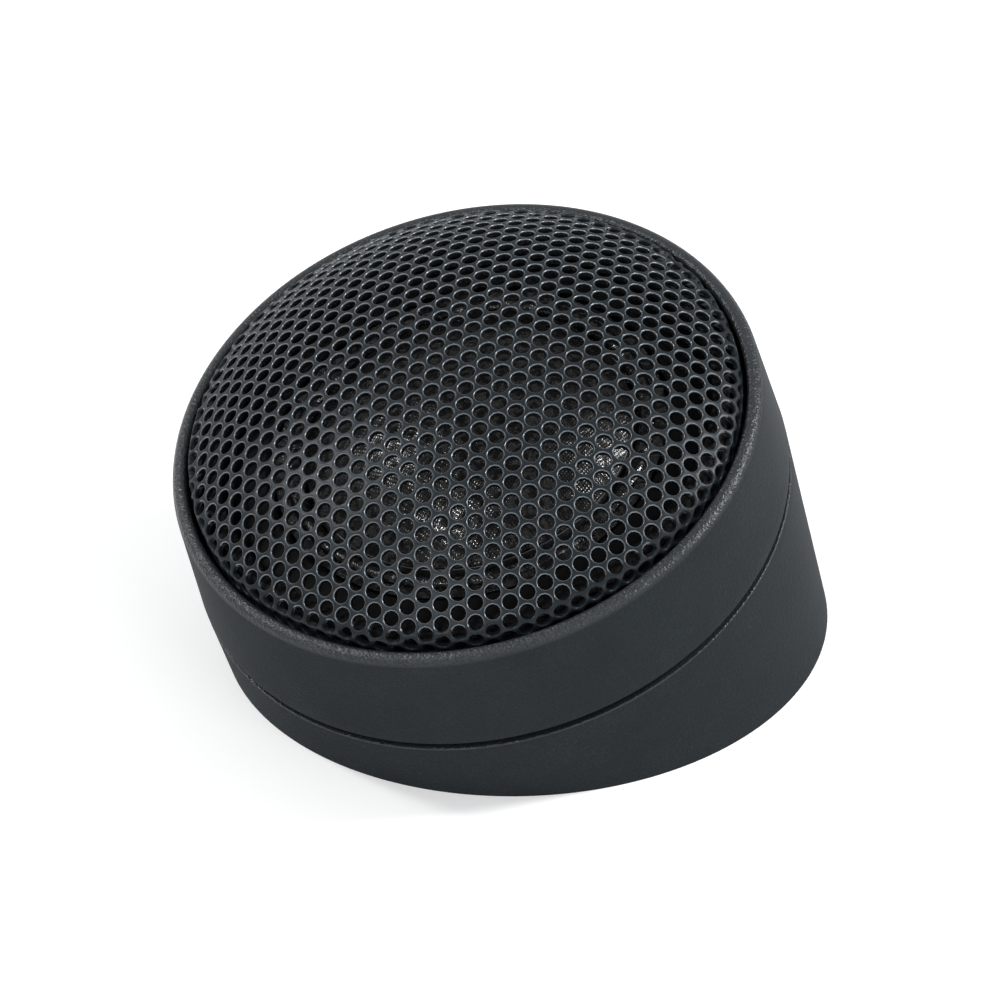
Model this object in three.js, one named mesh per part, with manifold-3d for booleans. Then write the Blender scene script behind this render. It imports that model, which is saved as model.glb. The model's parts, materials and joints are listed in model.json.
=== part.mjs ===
// A car tweeter in an angled surface-mount pod. Millimetres, +Z up.
// The pod stands on the underside of its wedge base, at z = 0, with the thin side of the wedge towards -Y.
// The tweeter's axis leans towards -Y by TILT and passes through the origin. Heights called h are measured
// along that axis from the parting plane, where the round head meets the wedge base.

import * as THREE from 'three';
import { mergeVertices } from 'three/addons/utils/BufferGeometryUtils.js';
import Module from 'manifold-3d';

const wasm = await Module();
wasm.setup();

// Driving dimensions of the pod
const TILT = THREE.MathUtils.degToRad(21);
const AXIS_LENGTH = 14.0; // along the axis, from the underside to the parting plane
const POD_RADIUS = 23.5; // outside, at the parting plane
const DRAFT = Math.tan(THREE.MathUtils.degToRad(1)); // the wedge narrows downwards by this slope
const GROOVE = 0.6; // width of the groove at the parting plane
const WALL = 1.2;
const FLOOR = 2.0;
const GAP = 0.3; // between pieces that touch in the real object
const BLEND = 0.1; // how far pieces of one moulding reach into each other before they are joined
const OVERSHOOT = 1; // how far a cutting body reaches past what it cuts
const CHAMFER = 0.15; // on both edges of the groove

// Head: lip, bore and shelf of the housing ring
const LIP_OUTER = 23.02;
const LIP_CREST = 9.6;
const LIP_ROUND = 0.8;
const LIP_INNER_ROUND = 0.4;
const BORE = 21.8;
const SHELF_TOP = 4.4;
const SHELF_BOTTOM = 2.8;
const SHELF_INNER = 16.6;
const SKIRT_OUTER = 21.2;
const SKIRT_INNER = 20.2;
const SKIRT_BOTTOM = -2.8;

// Bayonet: three lugs on the skirt turn under three lugs on the base wall
const LUG_ANGLES = [30, 150, 270];
const BASE_LUG = { inner: 21.55, top: -0.6, bottom: -1.5, span: 24 };
const HEAD_LUG = { outer: 21.95, top: -1.8, span: 20 };
const STOP_SPAN = 4;
const STOP_OVERLAP = 2; // degrees by which a stop rib reaches into its lug

// Grille: a dome with a skirt that stands in the bore
const GRILLE_APEX = 16.2;
const GRILLE_DROP = [4.15, 1.55]; // fall at GRILLE_SPAN, of the square and of the fourth power term
const GRILLE_SPAN = 21;
const GRILLE_THICKNESS = 0.5;
const GRILLE_EDGE = 21.25;
const GRILLE_SKIRT = { outer: 21.5, bottom: 4.9, bend: 9.7 };
const CUSHION = { inner: 19.2, outer: 20.4, top: 9.7 };

// Faceplate of the driver, and the screws that hold it on the shelf from behind
const FACEPLATE = { outer: 20.5, inner: 15.6, bottom: 5.4, rim: 7.0, flat: 19.0, top: 8.0, bottomEdge: 1.0 };
const GASKET_INNER = 17.0;
const COLLAR_OUTER = 16.3;
const SCREW_ANGLES = [90, 210, 330];
const SCREW_CIRCLE = 18.3;
const SCREW = { shank: 0.8, head: 1.5, headHeight: 1.2, headRound: 0.4, tip: 6.4 };
const SCREW_HOLE = 1.2;

// Magnet system
const YOKE = { outer: 15.3, inner: 13.7, bottom: -5.2, floor: -2.8, top: 4.9 };
const MAGNET_RADIUS = 11.2;
const FRAME_INNER = 14.2;
const POLE = { radius: 12.2, thickness: 2.3 };
const FELT = { radius: 9.0, thickness: 1.2 };

// Diaphragm
const DOME = { radius: 12.75, edge: 7.9, apex: 12.5, thickness: 0.4 };
const FORMER = { inner: 12.5, outer: 12.7, bottom: 2.2, top: 7.6 };
const COIL = { inner: 12.85, outer: 13.2, bottom: 2.7, top: 4.8 };
const ROLL = { inner: 13.1, outer: 14.5, edge: 15.3, base: 7.2, thickness: 0.3 };

// Openings in the floor
const CABLE_HOLE = { y: 9, radius: 4.9, bore: 3.2, flange: 5.8, flangeThickness: 0.8 };
const FIXING = { x: 13.5, y: 2, radius: 1.7, sink: 3.4 };

// Electrical parts behind the yoke
const BOARD = { width: 17, depth: 7, thickness: 1.2, y: 2, hole: 1.3, holeDepth: 1.8 };
const BOARD_SCREW = { shank: 1, head: 1.8, headHeight: 1, headRound: 0.5, length: 2.6, tipTaper: 0.3 };
const TAG = { x: 6, width: 2.8, length: 4.4, thickness: 0.6, eye: 0.6, eyeFromEnd: 1.4, taper: 1 };
const WIRE_RADIUS = 0.25;
const SLOT_WIDTH = 1.6; // of the slots that let the lead wires through
const CAPACITOR = { radius: 3.2, length: 11, y: 11, h: -9.3, edge: 0.3, bead: 1.3 };

const SHELL_SEGMENTS = 48;
const INNER_SEGMENTS = 32;
const SMALL_SEGMENTS = 12;

const plastic = (color, roughness) => new THREE.MeshStandardMaterial({ color, roughness, metalness: 0 });
const metal = (color, roughness) => new THREE.MeshStandardMaterial({ color, roughness, metalness: 1 });

const degrees = THREE.MathUtils.degToRad;

// Points of an arc in the (radius, height) plane, from one angle to another in degrees
function arc(r, h, radius, from, to, steps) {
  const points = [];
  for (let i = 0; i <= steps; i++) {
    const angle = degrees(from + ((to - from) * i) / steps);
    points.push([r + radius * Math.cos(angle), h + radius * Math.sin(angle)]);
  }
  return points;
}

// A solid turned about Z. The outline runs anticlockwise with the radius to the right.
function turned(outline, segments) {
  const points = outline.map(([r, h]) => new THREE.Vector2(r, h));
  if (outline[0][0] > 0) points.push(points[0].clone());
  return new THREE.LatheGeometry(points, segments).rotateX(Math.PI / 2);
}

// A flat ring, or a disc when the inner radius is 0
function ring(inner, outer, bottom, top, segments) {
  return turned([[inner, bottom], [outer, bottom], [outer, top], [inner, top]], segments);
}

function extruded(shape, bottom, top, curveSegments = 4) {
  const depth = top - bottom;
  const options = { depth, bevelEnabled: false, curveSegments };
  return new THREE.ExtrudeGeometry(shape, options).translate(0, 0, bottom);
}

// Part of a ring that spans some degrees about its centre angle
function sector(inner, outer, bottom, top, centre, span) {
  const from = degrees(centre - span / 2);
  const to = degrees(centre + span / 2);
  const shape = new THREE.Shape();
  shape.absarc(0, 0, outer, from, to, false);
  shape.absarc(0, 0, inner, to, from, true);
  return extruded(shape, bottom, top);
}

// A round rod that follows smooth curves through the points
function wire(points, radius, steps) {
  const section = new THREE.Shape();
  section.absarc(0, 0, radius, 0, 2 * Math.PI, false);
  const path = new THREE.CatmullRomCurve3(points.map((p) => new THREE.Vector3(...p)), false, 'centripetal');
  return new THREE.ExtrudeGeometry(section, { steps, extrudePath: path, curveSegments: 4 });
}

function solid(geometry) {
  const bare = geometry.index ? geometry.toNonIndexed() : geometry.clone();
  bare.deleteAttribute('normal');
  bare.deleteAttribute('uv');
  const merged = mergeVertices(bare);
  const vertProperties = merged.attributes.position.array;
  const triVerts = new Uint32Array(merged.index.array);
  return new wasm.Manifold(new wasm.Mesh({ numProp: 3, vertProperties, triVerts }));
}

function geometryOf(manifold) {
  const { vertProperties, triVerts } = manifold.getMesh();
  const geometry = new THREE.BufferGeometry();
  geometry.setAttribute('position', new THREE.BufferAttribute(vertProperties, 3));
  geometry.setIndex(new THREE.BufferAttribute(triVerts, 1));
  geometry.computeVertexNormals();
  return geometry;
}

// The first geometry, joined with some others and then cut by the rest
function carved(body, { add = [], cut = [] }) {
  let result = solid(body);
  for (const piece of add) result = result.add(solid(piece));
  for (const piece of cut) result = result.subtract(solid(piece));
  return geometryOf(result);
}

const onCircle = (radius, angle) => [radius * Math.cos(degrees(angle)), radius * Math.sin(degrees(angle))];

const rod = (radius, bottom, top, x, y) => ring(0, radius, bottom, top, SMALL_SEGMENTS).translate(x, y, 0);

const pod = new THREE.Group();
const head = new THREE.Group();
head.rotation.x = TILT;
head.position.set(0, -AXIS_LENGTH * Math.sin(TILT), AXIS_LENGTH * Math.cos(TILT));
head.updateMatrix();
pod.add(head);

function addTo(group, name, geometry, material) {
  const mesh = new THREE.Mesh(geometry, material);
  mesh.name = name;
  group.add(mesh);
}

// The wedge base: a drafted tube about the leaning axis, cut off flat by the underside, with a floor,
// bayonet lugs inside its mouth, a cable hole and two countersunk fixing holes
function wedgeBase() {
  const below = -2 * POD_RADIUS;
  const top = -GROOVE / 2;
  const outline = [
    [0, below], [POD_RADIUS + DRAFT * below, below], [POD_RADIUS, top - CHAMFER], [POD_RADIUS - CHAMFER, top],
    [0, top],
  ];
  const inner = POD_RADIUS - WALL;
  const hollow = [
    [0, below], [inner + DRAFT * below, below], [inner, top - CHAMFER], [inner, OVERSHOOT], [0, OVERSHOOT],
  ];
  const inHead = (geometry) => geometry.applyMatrix4(head.matrix);
  const wide = 4 * POD_RADIUS;
  const slab = (topZ) => new THREE.BoxGeometry(wide, wide, wide).translate(0, 0, topZ - wide / 2);
  const cavity = solid(inHead(turned(hollow, SHELL_SEGMENTS))).subtract(solid(slab(FLOOR)));
  const shell = solid(inHead(turned(outline, SHELL_SEGMENTS))).subtract(solid(slab(0))).subtract(cavity);
  const pieces = [];
  for (const angle of LUG_ANGLES) {
    const { inner: lugInner, top: lugTop, bottom, span } = BASE_LUG;
    pieces.push(sector(lugInner, inner + BLEND, bottom, lugTop, angle, span));
    const stopAngle = angle - (span + STOP_SPAN) / 2 + STOP_OVERLAP / 2;
    const stopSpan = STOP_SPAN + STOP_OVERLAP;
    const stopTop = lugTop - BLEND;
    pieces.push(sector(lugInner + BLEND, inner + 2 * BLEND, SKIRT_BOTTOM, stopTop, stopAngle, stopSpan));
  }
  const holes = [rod(CABLE_HOLE.radius, -OVERSHOOT, FLOOR + OVERSHOOT, 0, CABLE_HOLE.y)];
  for (const side of [-1, 1]) {
    const { x, y, radius, sink } = FIXING;
    const coneBottom = FLOOR - sink + radius;
    const coneTop = FLOOR + OVERSHOOT;
    const cone = [[0, coneBottom], [radius, coneBottom], [sink + OVERSHOOT, coneTop], [0, coneTop]];
    holes.push(rod(radius, -OVERSHOOT, coneTop, side * x, y));
    holes.push(turned(cone, SMALL_SEGMENTS).translate(side * x, y, 0));
  }
  return carved(geometryOf(shell), { add: pieces.map(inHead), cut: holes });
}

// The rubber bush in the cable hole, held by a flange above the floor
function cableGrommet() {
  const { bore, radius, flange, flangeThickness, y } = CABLE_HOLE;
  const neck = radius - GAP;
  const flangeBottom = FLOOR + GAP;
  const flangeTop = flangeBottom + flangeThickness;
  const outline = [
    [bore, GAP], [neck, GAP], [neck, flangeBottom], [flange, flangeBottom], [flange, flangeTop],
    [bore, flangeTop],
  ];
  return turned(outline, SMALL_SEGMENTS).translate(0, y, 0);
}

// The housing ring: outside wall with a rounded lip, a shelf for the driver, and the bayonet skirt
function housingRing() {
  const bottom = GROOVE / 2;
  const innerWall = SKIRT_OUTER + GAP;
  const outline = [
    [SKIRT_INNER, SKIRT_BOTTOM], [SKIRT_OUTER, SKIRT_BOTTOM], [SKIRT_OUTER, bottom],
    [POD_RADIUS - CHAMFER, bottom], [POD_RADIUS, bottom + CHAMFER],
    ...arc(LIP_OUTER - LIP_ROUND, LIP_CREST - LIP_ROUND, LIP_ROUND, 0, 90, 3),
    ...arc(BORE + LIP_INNER_ROUND, LIP_CREST - LIP_INNER_ROUND, LIP_INNER_ROUND, 90, 180, 2),
    [BORE, SHELF_TOP], [SHELF_INNER, SHELF_TOP], [SHELF_INNER, SHELF_BOTTOM],
    [innerWall - WALL, SHELF_BOTTOM],
  ];
  const lugs = LUG_ANGLES.map((angle) =>
    sector(SKIRT_OUTER - BLEND, HEAD_LUG.outer, SKIRT_BOTTOM, HEAD_LUG.top, angle, HEAD_LUG.span));
  const holes = SCREW_ANGLES.map((angle) => {
    const [x, y] = onCircle(SCREW_CIRCLE, angle);
    return rod(SCREW_HOLE, SHELF_BOTTOM - OVERSHOOT, SHELF_TOP + OVERSHOOT, x, y);
  });
  return carved(turned(outline, SHELL_SEGMENTS), { add: lugs, cut: holes });
}

const grilleHeight = (r) => {
  const t = (r / GRILLE_SPAN) ** 2;
  return GRILLE_APEX - GRILLE_DROP[0] * t - GRILLE_DROP[1] * t * t;
};

// The grille as a plain domed sheet: its outer face, then the skirt, then the inner face back to the axis
function grille() {
  const steps = 5;
  const { outer, bottom, bend } = GRILLE_SKIRT;
  const dome = (edge, sink) => {
    const points = [];
    for (let i = 0; i <= steps; i++) {
      const r = (edge * i) / steps;
      points.push([r, grilleHeight(r) - sink]);
    }
    return points;
  };
  const inner = outer - GRILLE_THICKNESS;
  const outline = [
    ...dome(GRILLE_EDGE - GRILLE_THICKNESS, GRILLE_THICKNESS * 1.25), [inner, bend - GRILLE_THICKNESS],
    [inner, bottom], [outer, bottom], [outer, bend], ...dome(GRILLE_EDGE, 0).reverse(),
  ];
  return turned(outline, SHELL_SEGMENTS);
}

// The foam ring between the faceplate and the grille
function grilleCushion() {
  const { inner, outer, top } = CUSHION;
  return ring(inner, outer, FACEPLATE.rim + GAP, top, INNER_SEGMENTS);
}

// The faceplate: a flange on the shelf, a coned face, and a collar round the yoke with slots for the leads
function faceplate() {
  const { outer, inner, bottom, rim, flat, top, bottomEdge } = FACEPLATE;
  const outline = [
    [inner + BLEND, bottomEdge], [COLLAR_OUTER, bottomEdge], [COLLAR_OUTER, bottom], [outer, bottom],
    [outer, rim],
    [flat, rim], [inner + GAP, top], [inner, top - GAP], [inner, rim], [inner + BLEND, rim],
  ];
  const holes = SCREW_ANGLES.map((angle) => {
    const [x, y] = onCircle(SCREW_CIRCLE, angle);
    return rod(SCREW.shank + GAP, bottom - OVERSHOOT, SCREW.tip + GAP, x, y);
  });
  const slots = leadSlots(inner - OVERSHOOT, COLLAR_OUTER + BLEND, bottomEdge - OVERSHOOT, ROLL.base - GAP);
  return carved(turned(outline, INNER_SEGMENTS), { cut: [...holes, ...slots] });
}

// Boxes on both sides of the axis that leave room for the lead wires
function leadSlots(inner, outer, bottom, top) {
  return [-1, 1].map((side) =>
    new THREE.BoxGeometry(outer - inner, SLOT_WIDTH, top - bottom)
      .translate((side * (inner + outer)) / 2, 0, (bottom + top) / 2));
}

// The foam gasket between the shelf and the faceplate
function gasket() {
  const { outer, bottom } = FACEPLATE;
  const holes = SCREW_ANGLES.map((angle) =>
    rod(SCREW_HOLE, SHELF_TOP - OVERSHOOT, bottom + OVERSHOOT, ...onCircle(SCREW_CIRCLE, angle)));
  return carved(ring(GASKET_INNER, outer, SHELF_TOP + GAP, bottom - GAP, INNER_SEGMENTS), { cut: holes });
}

// A pan-head screw that points up, with its head under the shelf
function faceplateScrew(angle) {
  const { shank, head: radius, headHeight, headRound, tip } = SCREW;
  const under = SHELF_BOTTOM - GAP;
  const outline = [
    [0, under - headHeight], [radius - headRound, under - headHeight], [radius, under - headHeight / 2],
    [radius, under],
    [shank, under], [shank, tip - shank], [0, tip],
  ];
  return turned(outline, SMALL_SEGMENTS).translate(...onCircle(SCREW_CIRCLE, angle), 0);
}

// The steel cup, with a blind hole in its back for the terminal board's screw
function yokeCup() {
  const { outer, inner, bottom, floor, top } = YOKE;
  const outline = [[0, bottom], [outer, bottom], [outer, top], [inner, top], [inner, floor], [0, floor]];
  const blindHole = rod(BOARD.hole, bottom - OVERSHOOT, bottom + BOARD.holeDepth, 0, BOARD.y);
  return carved(turned(outline, INNER_SEGMENTS), { cut: [blindHole] });
}

const poleBottom = YOKE.top - POLE.thickness;
const magnet = () => ring(0, MAGNET_RADIUS, YOKE.floor + GAP, poleBottom - GAP, INNER_SEGMENTS);
const polePlate = () => ring(0, POLE.radius, poleBottom, YOKE.top, INNER_SEGMENTS);
const feltBottom = YOKE.top + GAP;
const dampingFelt = () => ring(0, FELT.radius, feltBottom, feltBottom + FELT.thickness, INNER_SEGMENTS);

// The spacer ring that carries the outer edge of the surround above the yoke
function surroundFrame() {
  const bottom = YOKE.top + GAP;
  const top = ROLL.base - GAP;
  const slots = leadSlots(YOKE.inner - OVERSHOOT, YOKE.outer + OVERSHOOT, bottom - OVERSHOOT, top - 2 * GAP);
  return carved(ring(FRAME_INNER, YOKE.outer, bottom, top, INNER_SEGMENTS), { cut: slots });
}

// The half-roll surround with its flat outer edge
function surround() {
  const { inner, outer, edge, base, thickness } = ROLL;
  const centre = (inner + outer) / 2;
  const radius = (outer - inner) / 2;
  const outline = [
    ...arc(centre, base, radius - thickness, 180, 0, 4), [edge, base], [edge, base + thickness],
    [outer + thickness / 2, base + thickness], ...arc(centre, base, radius, 15, 180, 4),
  ];
  return turned(outline, INNER_SEGMENTS);
}

// The dome: a thin spherical cap
function dome() {
  const { radius, edge, apex, thickness } = DOME;
  const rise = apex - edge;
  const sphere = (radius * radius + rise * rise) / (2 * rise);
  const centre = apex - sphere;
  const rimAngle = THREE.MathUtils.radToDeg(Math.asin((edge - centre) / sphere));
  const inside = sphere - thickness;
  const insideAngle = THREE.MathUtils.radToDeg(Math.asin((edge - centre) / inside));
  const underside = arc(0, centre, inside, 90, insideAngle, 4);
  const outside = arc(0, centre, sphere, rimAngle, 90, 4);
  underside[0][0] = 0;
  outside[4][0] = 0;
  return turned([...underside, ...outside], INNER_SEGMENTS);
}

const coilFormer = () => ring(FORMER.inner, FORMER.outer, FORMER.bottom, FORMER.top, INNER_SEGMENTS);
const voiceCoil = () => ring(COIL.inner, COIL.outer, COIL.bottom, COIL.top, INNER_SEGMENTS);

const boardTop = YOKE.bottom - GAP;
const boardBottom = boardTop - BOARD.thickness;

// The terminal board: a flat strip with a screw hole
function terminalBoard() {
  const { width, depth, y } = BOARD;
  const strip = new THREE.Shape();
  strip.moveTo(-width / 2, y - depth / 2);
  strip.lineTo(width / 2, y - depth / 2);
  strip.lineTo(width / 2, y + depth / 2);
  strip.lineTo(-width / 2, y + depth / 2);
  const hole = new THREE.Path();
  hole.absarc(0, y, BOARD.hole, 0, 2 * Math.PI, true);
  strip.holes.push(hole);
  return extruded(strip, boardBottom, boardTop);
}

function boardScrew() {
  const { shank, head: radius, headHeight, headRound, length, tipTaper } = BOARD_SCREW;
  const under = boardBottom - GAP;
  const shoulder = under + length;
  const outline = [
    [0, under - headHeight], [radius - headRound, under - headHeight], [radius, under - headRound],
    [radius, under], [shank, under], [shank, shoulder], [0, shoulder + tipTaper],
  ];
  return turned(outline, SMALL_SEGMENTS).translate(0, BOARD.y, 0);
}

// A solder tag that stands down from the board, with an eye for the wire
function terminalTag(side) {
  const { x, width, length, thickness, taper } = TAG;
  const blade = new THREE.Shape();
  blade.moveTo(-width / 2, 0);
  blade.lineTo(-width / 2, -length + taper);
  blade.lineTo(-width / 4, -length);
  blade.lineTo(width / 4, -length);
  blade.lineTo(width / 2, -length + taper);
  blade.lineTo(width / 2, 0);
  const eye = new THREE.Path();
  eye.absarc(0, -length + TAG.eyeFromEnd, TAG.eye, 0, 2 * Math.PI, true);
  blade.holes.push(eye);
  return extruded(blade, -thickness / 2, thickness / 2)
    .rotateX(Math.PI / 2)
    .translate(side * x, BOARD.y, boardBottom - GAP);
}

// A lead wire from beside the coil former, out through the slots and down to its tag
function leadWire(side) {
  const beside = FORMER.outer + GAP + WIRE_RADIUS;
  const outside = YOKE.outer + GAP + WIRE_RADIUS + BLEND;
  const tagY = BOARD.y + TAG.thickness / 2 + GAP + WIRE_RADIUS;
  const points = [
    [side * beside, 0, 5.8], [side * (outside - 0.6), 0, 5.7], [side * outside, 0, 5.0],
    [side * outside, 0, 0], [side * outside, 0, -4.4], [side * (outside - 2), 1, -7.4],
    [side * (TAG.x + 3), tagY, -9.3], [side * TAG.x, tagY, -9.6],
  ];
  return wire(points, WIRE_RADIUS, 18);
}

// The capacitor of the high-pass filter, a can that lies across the pod
function filterCapacitor() {
  const { radius, length, y, h, edge, bead } = CAPACITOR;
  const half = length / 2;
  const outline = [
    [0, -half], [radius - edge, -half], [radius, -half + edge], [radius, half - bead - edge],
    [radius - edge, half - bead], [radius, half - bead + edge], [radius, half - edge], [radius - edge, half],
    [0, half],
  ];
  return turned(outline, SMALL_SEGMENTS).rotateY(Math.PI / 2).translate(0, y, h);
}

// A capacitor leg: from the middle of one end of the can to the solder tag on the same side
function capacitorLeg(side) {
  const { length, y, h } = CAPACITOR;
  const start = length / 2 + GAP;
  const tagY = BOARD.y + TAG.thickness / 2 + GAP + WIRE_RADIUS;
  const points = [
    [side * start, y, h], [side * (start + 1.6), y - 0.4, h], [side * (start + 1.9), y - 3, h - 0.6],
    [side * (TAG.x + 0.9), tagY + 1.3, -10.5], [side * TAG.x, tagY + 0.1, -10.5],
  ];
  return wire(points, WIRE_RADIUS, 12);
}

const satinBlack = plastic(0x23272a, 0.55);
const foam = plastic(0x1a1a1a, 0.95);
const steel = metal(0x9a9c9e, 0.35);
const brass = metal(0xb8a269, 0.3);
const lead = plastic(0x8a3b22, 0.6);

addTo(pod, 'wedge_base', wedgeBase(), satinBlack);
addTo(pod, 'cable_grommet', cableGrommet(), plastic(0x151515, 0.8));
addTo(head, 'housing_ring', housingRing(), satinBlack);
addTo(head, 'grille', grille(), metal(0x2b3238, 0.5));
addTo(head, 'grille_cushion', grilleCushion(), foam);
addTo(head, 'faceplate', faceplate(), plastic(0x141516, 0.5));
addTo(head, 'faceplate_gasket', gasket(), foam);
SCREW_ANGLES.forEach((angle, i) => addTo(head, `faceplate_screw_${i + 1}`, faceplateScrew(angle), steel));
addTo(head, 'yoke_cup', yokeCup(), steel);
addTo(head, 'magnet', magnet(), metal(0xb9bbbd, 0.25));
addTo(head, 'pole_plate', polePlate(), steel);
addTo(head, 'damping_felt', dampingFelt(), foam);
addTo(head, 'surround_frame', surroundFrame(), plastic(0x1d1e20, 0.6));
addTo(head, 'surround', surround(), plastic(0x111111, 0.7));
addTo(head, 'dome_diaphragm', dome(), plastic(0x1b1b1d, 0.8));
addTo(head, 'coil_former', coilFormer(), metal(0xc8cacc, 0.4));
addTo(head, 'voice_coil', voiceCoil(), metal(0xb4682f, 0.35));
addTo(head, 'terminal_board', terminalBoard(), plastic(0x5c4022, 0.7));
addTo(head, 'terminal_board_screw', boardScrew(), steel);
addTo(head, 'terminal_tag_positive', terminalTag(1), brass);
addTo(head, 'terminal_tag_negative', terminalTag(-1), brass);
addTo(head, 'lead_wire_positive', leadWire(1), lead);
addTo(head, 'lead_wire_negative', leadWire(-1), lead);
addTo(head, 'filter_capacitor', filterCapacitor(), plastic(0x1c2a3c, 0.4));
addTo(head, 'capacitor_leg_positive', capacitorLeg(1), steel);
addTo(head, 'capacitor_leg_input', capacitorLeg(-1), steel);

export default pod;
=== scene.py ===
"""The looks of a car tweeter in an angled surface-mount pod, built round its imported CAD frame.

Metres, +Z up. The head turns about the tweeter's axis, which leans towards -Y. The head's pieces are
modelled upright in millimetres, with the parting plane at height 0, and HEAD tilts and lifts them into place.
"""
import json
import math

import bmesh
import bpy
from mathutils import Matrix, Vector


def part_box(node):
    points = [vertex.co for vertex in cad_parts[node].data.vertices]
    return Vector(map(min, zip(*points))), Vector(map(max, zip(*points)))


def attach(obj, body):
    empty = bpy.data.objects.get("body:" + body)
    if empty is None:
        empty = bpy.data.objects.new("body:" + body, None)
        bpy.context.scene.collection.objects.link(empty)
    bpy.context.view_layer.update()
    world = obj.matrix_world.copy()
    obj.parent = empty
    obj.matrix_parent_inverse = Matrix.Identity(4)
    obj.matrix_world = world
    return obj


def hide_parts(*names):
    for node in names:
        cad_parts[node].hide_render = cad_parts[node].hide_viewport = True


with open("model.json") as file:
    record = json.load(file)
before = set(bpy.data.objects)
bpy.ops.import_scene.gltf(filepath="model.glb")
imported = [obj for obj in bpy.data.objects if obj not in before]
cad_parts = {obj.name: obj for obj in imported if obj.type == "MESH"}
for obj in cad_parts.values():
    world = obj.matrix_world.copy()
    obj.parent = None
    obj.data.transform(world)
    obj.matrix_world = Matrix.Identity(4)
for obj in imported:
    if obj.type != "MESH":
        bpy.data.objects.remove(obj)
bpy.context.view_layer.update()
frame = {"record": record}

MM = 0.001
JOINTS = {joint["name"]: joint for joint in frame["record"]["behaviour"]["joints"]}
PIVOT = Vector(JOINTS["housing_twist"]["pos_m"])
AXIS = Vector(JOINTS["housing_twist"]["axis"]).normalized()
TILT = math.atan2(-AXIS.y, AXIS.z)
UPRIGHT = Matrix.Scale(MM, 4)
HEAD = Matrix.Translation(PIVOT) @ Matrix.Rotation(TILT, 4, "X") @ UPRIGHT
PIVOT_HEIGHT = PIVOT.z / MM

# Pod, in millimetres: radii from the axis, heights along it from the parting plane
POD_RADIUS = (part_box("housing_ring")[1].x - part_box("housing_ring")[0].x) / 2 / MM
DRAFT = math.tan(math.radians(1))
GROOVE = 0.6
WALL = 1.2
FLOOR = 2.0
GAP = 0.3
LIP_OUTER = 23.02
LIP_CREST = 9.6
LIP_ROUND = 0.8
LIP_INNER_ROUND = 0.4
BORE = 21.8
SHELF_TOP = 4.4
SHELF_BOTTOM = 2.8
SHELF_INNER = 16.6
SKIRT_OUTER = 21.2
SKIRT_INNER = 20.2
SKIRT_BOTTOM = -2.8
# A thin rib under the ring that keeps daylight out of the groove
RIB_OUTER = POD_RADIUS - 0.9
RIB_INNER = POD_RADIUS - 1.25
RIB_BOTTOM = -GROOVE / 2 + 0.08
HOUSING_EDGE = 0.14
MOUTH_EDGE = 0.12

# Bayonet, in millimetres and degrees: lugs on the skirt turn under ledges in the base, off their stops
LUG_ANGLES = (30, 150, 270)
LUG_OUTER = 21.95
LUG_TOP = -1.8
LUG_SPAN = 20
LEDGE_INNER = 21.55
LEDGE_BOTTOM = -1.5
LEDGE_TOP = -0.6
LEDGE_SPAN = 24
STOP_INNER = 21.65
STOP_TOP = -0.7
STOP_TURN = 14
STOP_SPAN = 6
# How far the parts of one solid reach into each other, and a cutter reaches past what it cuts
OVERLAP = 0.2
PAST = 1.0

# Screws
SCREW_ANGLES = (90, 210, 330)
SCREW_CIRCLE = 18.3
SCREW_HOLE = 1.2
PILOT_RADIUS = 1.1
PILOT_TOP = 6.7
BOARD_HOLE = 1.3
BOARD_HOLE_DEPTH = 1.8
THREAD_PITCH = 0.5
THREAD_ROOT = 0.78
CROSS_WIDTH = 0.35

# Grille sheet
PITCH = 1.525
HOLE = 0.605
SHEET = 0.5
RIM_ROUND = 0.125
RIM_DEPTH = 0.13
EXIT_DEPTH = SHEET - 0.06
EXIT_RADIUS = HOLE + 0.04
FLAT_STEP = 0.05
LATTICE_TURN = math.radians(1.76)
LATTICE_SHIFT = Vector((0.36, 0.33))
APEX = 16.2
SPAN = 21.0
DROP_SQUARE = 4.15
DROP_FOURTH = 1.55
STRETCH_SQUARE = 0.0122
STRETCH_FOURTH = -0.0471
GRILLE_SKIRT = 21.5
GRILLE_FOOT = 5.0
GRILLE_BEND = 0.35

# Driver
FACEPLATE_OUTER = 20.5
FACEPLATE_INNER = 15.6
FACEPLATE_BOTTOM = 5.4
FACEPLATE_RIM = 7.0
FACEPLATE_TOP = 8.0
COLLAR_OUTER = 16.3
YOKE_OUTER = 15.3
YOKE_INNER = 13.7
YOKE_BOTTOM = -5.2
YOKE_FLOOR = -2.8
YOKE_TOP = 4.9
POLE_BOTTOM = 2.6
ROLL_BASE = 7.2
ROLL_MIDDLE = 13.8
ROLL_RADIUS = 0.7
BOARD_Y = 2.0
BOARD_TOP = YOKE_BOTTOM - GAP
BOARD_BOTTOM = BOARD_TOP - 1.2
TAG_X = 6.0
SOLDER_Y = BOARD_Y + 0.85
WIRE_RADIUS = 0.25
STRAND_SHARE = 0.48
CAPACITOR_RADIUS = 3.2
CAPACITOR_HALF = 5.5
CAPACITOR_Y = 11.0
CAPACITOR_HEIGHT = -9.3

# Holes in the floor of the base
CABLE_Y = 9.0
CABLE_RADIUS = 4.9
FIXING_X = 13.5
FIXING_Y = 2.0
FIXING_RADIUS = 1.7
FIXING_SINK = 3.4

# Finish of the worn edges. Heights are in centimetres above the parting plane, as in Shading.height
WORN_GLOSS = 0.42
WORN_ROUGHNESS = 0.25
WORN_RELIEF = 0.55
PLAIN_RELIEF = 0.25
LIP_HEIGHT = 0.915
LIP_BLEND = 0.02
MOUTH_HEIGHT = -0.039
MOUTH_BLEND = 0.002

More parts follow.
